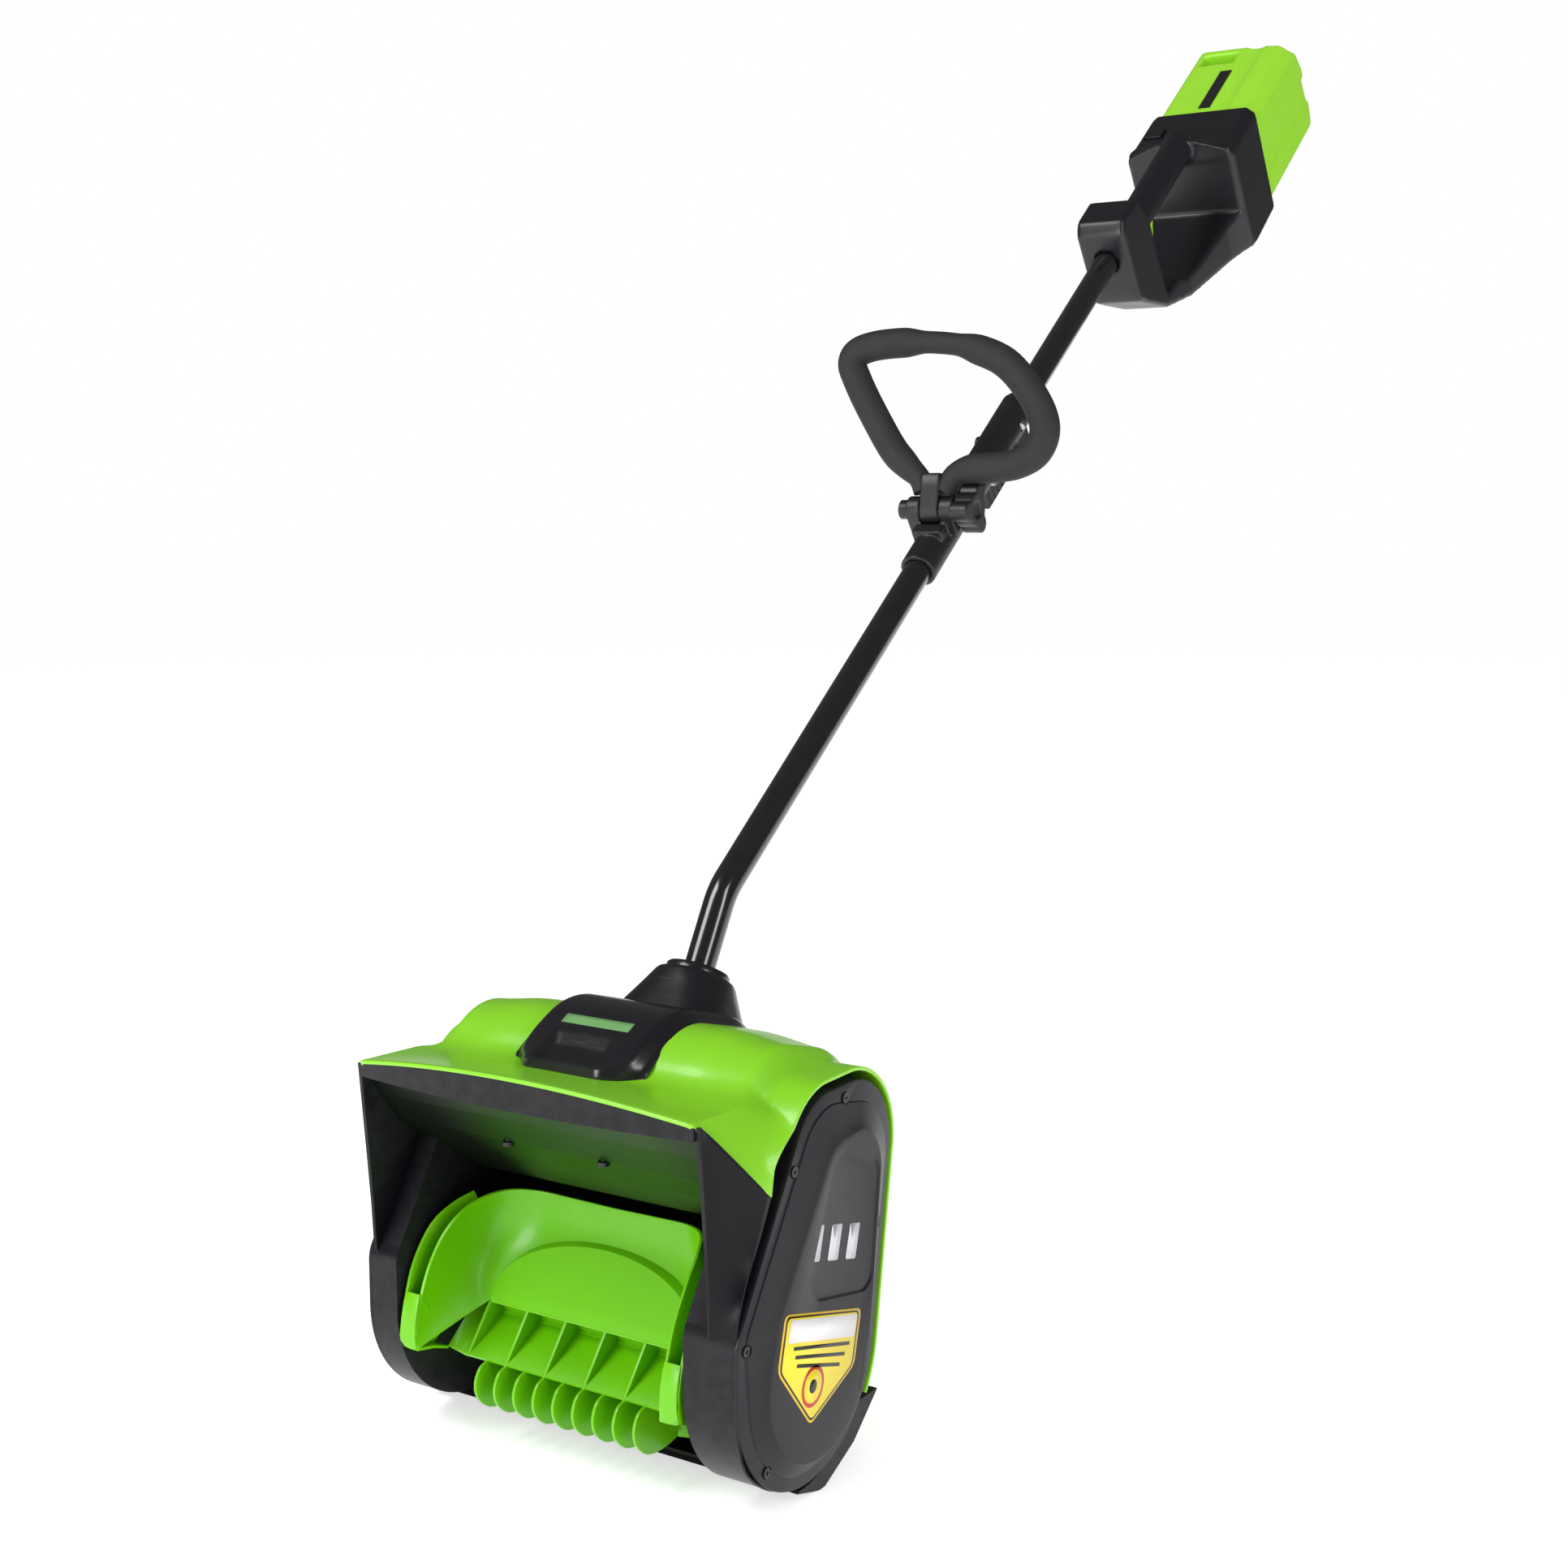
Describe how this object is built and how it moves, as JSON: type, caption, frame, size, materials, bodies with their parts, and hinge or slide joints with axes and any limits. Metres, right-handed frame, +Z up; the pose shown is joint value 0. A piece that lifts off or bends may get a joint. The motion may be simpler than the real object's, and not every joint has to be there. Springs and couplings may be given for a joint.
{
  "type": "cordless snow shovel",
  "caption": "Battery powered snow shovel with a hooded throwing rotor, bent telescoping shaft, tilting loop handle, trigger grip and slide-in battery.",
  "frame": {"origin": "middle of the flat foot of the scraper edge, on the ground", "axes": "+Z up, -Y out of the mouth towards the snow, +X to the side with the belt drive; the shaft rises towards +Y"},
  "size_m": [0.3605, 1.4714, 1.256],
  "materials": {
    "green_shell": "injection-moulded lime green, satin gloss with a fine grain",
    "trigger_green": "smooth lime green moulding",
    "black_shell": "textured black glass-filled nylon",
    "handle_black": "textured black nylon, lightly worn on edges",
    "tube_black": "black powder coat, fine orange peel",
    "dark_steel": "black oxide screw steel",
    "zinc_steel": "zinc-plated steel",
    "pulley_plastic": "glass-filled black plastic",
    "belt_rubber": "ribbed rubber belt",
    "foam": "closed-cell foam sleeve, fine pores",
    "cable": "black PVC cable sheath",
    "label_yellow": "plain printed vinyl label without lettering",
    "print_grey": "plain printed shape without lettering",
    "battery_print": "plain black printed strip",
    "copper": "tinned copper and brass contacts"
  },
  "bodies": {
    "frame": {"hood": "green_shell", "liner": "black_shell", "side_frame_right": "black_shell", "side_frame_left": "black_shell", "drive_cover": "black_shell", "left_cover": "black_shell", "lip_trim": "black_shell", "scraper_bar": "black_shell", "motor_cover": "black_shell", "shaft_socket": "black_shell", "shaft_mount": "zinc_steel", "cover_screws": "dark_steel", "left_screws": "dark_steel", "roof_screws": "dark_steel", "warning_label": "label_yellow", "side_badge": "print_grey", "logo_strip": "print_grey", "motor_can": "zinc_steel", "drive_belt": "belt_rubber", "idler_arm": "zinc_steel", "bearing_right": "zinc_steel", "bearing_left": "zinc_steel", "controller": "pulley_plastic", "harness": "cable", "lower_tube": "tube_black", "coupler": "handle_black", "coupler_bolt": "zinc_steel", "coupler_screw": "zinc_steel", "loop_clamp": "handle_black", "loop_bolt": "dark_steel", "upper_tube": "tube_black", "handle_right": "handle_black", "handle_left": "handle_black", "handle_screws": "dark_steel", "trigger_spring": "zinc_steel", "trigger_switch": "pulley_plastic", "terminal_block": "copper", "latch_spring": "zinc_steel"},
    "auger": {"rotor": "green_shell", "axle": "zinc_steel", "axle_nuts": "zinc_steel", "rotor_pulley": "pulley_plastic"},
    "motor": {"motor_rotor": "zinc_steel", "drive_pulley": "zinc_steel"},
    "idler": {"idler_pulley": "pulley_plastic"},
    "loop": {"loop_hub": "handle_black", "loop_tube": "tube_black", "loop_foam": "foam"},
    "loop_knob": {"loop_knob": "handle_black"},
    "coupler_knob": {"coupler_knob": "handle_black"},
    "spring_button": {"spring_button": "zinc_steel"},
    "trigger": {"trigger": "trigger_green"},
    "lock_button": {"lock_button": "handle_black"},
    "battery_latch": {"battery_latch": "handle_black"},
    "battery": {"battery": "green_shell", "battery_strip": "battery_print", "battery_terminals": "copper"}
  },
  "joints": [
    {"name": "rotor_spin", "type": "hinge", "parent": "frame", "child": "auger", "pos_m": [0, -0.026, 0.106], "axis": [1, 0, 0], "continuous": true},
    {"name": "motor_spin", "type": "hinge", "parent": "frame", "child": "motor", "pos_m": [0, 0.014, 0.25], "axis": [1, 0, 0], "continuous": true},
    {"name": "idler_spin", "type": "hinge", "parent": "frame", "child": "idler", "pos_m": [0, 0.0465, 0.196], "axis": [1, 0, 0], "continuous": true},
    {"name": "loop_tilt", "type": "hinge", "parent": "frame", "child": "loop", "pos_m": [0, 0.48268, 0.70557], "axis": [1, 0, 0], "range_deg": [-25, 60]},
    {"name": "loop_knob_turn", "type": "hinge", "parent": "frame", "child": "loop_knob", "pos_m": [0, 0.48268, 0.70557], "axis": [1, 0, 0], "continuous": true},
    {"name": "coupler_knob_turn", "type": "hinge", "parent": "frame", "child": "coupler_knob", "pos_m": [0, 0.6402, 0.75997], "axis": [1, 0, 0], "continuous": true},
    {"name": "spring_button_press", "type": "slide", "parent": "frame", "child": "spring_button", "axis": [-1, 0, 0], "range_m": [0, 0.0035], "stiffness_N_per_m": 400},
    {"name": "trigger_squeeze", "type": "hinge", "parent": "frame", "child": "trigger", "pos_m": [0, 0.93937, 1.01559], "axis": [1, 0, 0], "range_deg": [0, 12], "stiffness_Nm_per_rad": 0.3, "springref_deg": -11.46},
    {"name": "lock_button_press", "type": "slide", "parent": "frame", "child": "lock_button", "axis": [1, 0, 0], "range_m": [0, 0.003], "stiffness_N_per_m": 400},
    {"name": "latch_lift", "type": "hinge", "parent": "frame", "child": "battery_latch", "pos_m": [0, 1.08115, 1.12173], "axis": [1, 0, 0], "range_deg": [0, 16], "stiffness_Nm_per_rad": 0.1, "springref_deg": -11.46},
    {"name": "battery_slide", "type": "slide", "parent": "frame", "child": "battery", "axis": [0, 0.7923, 0.6101], "range_m": [0, 0.08]}
  ],
  "couplings": [
    {"joint": "motor_spin", "follows": "rotor_spin", "ratio": 4},
    {"joint": "idler_spin", "follows": "rotor_spin", "ratio": -5}
  ]
}
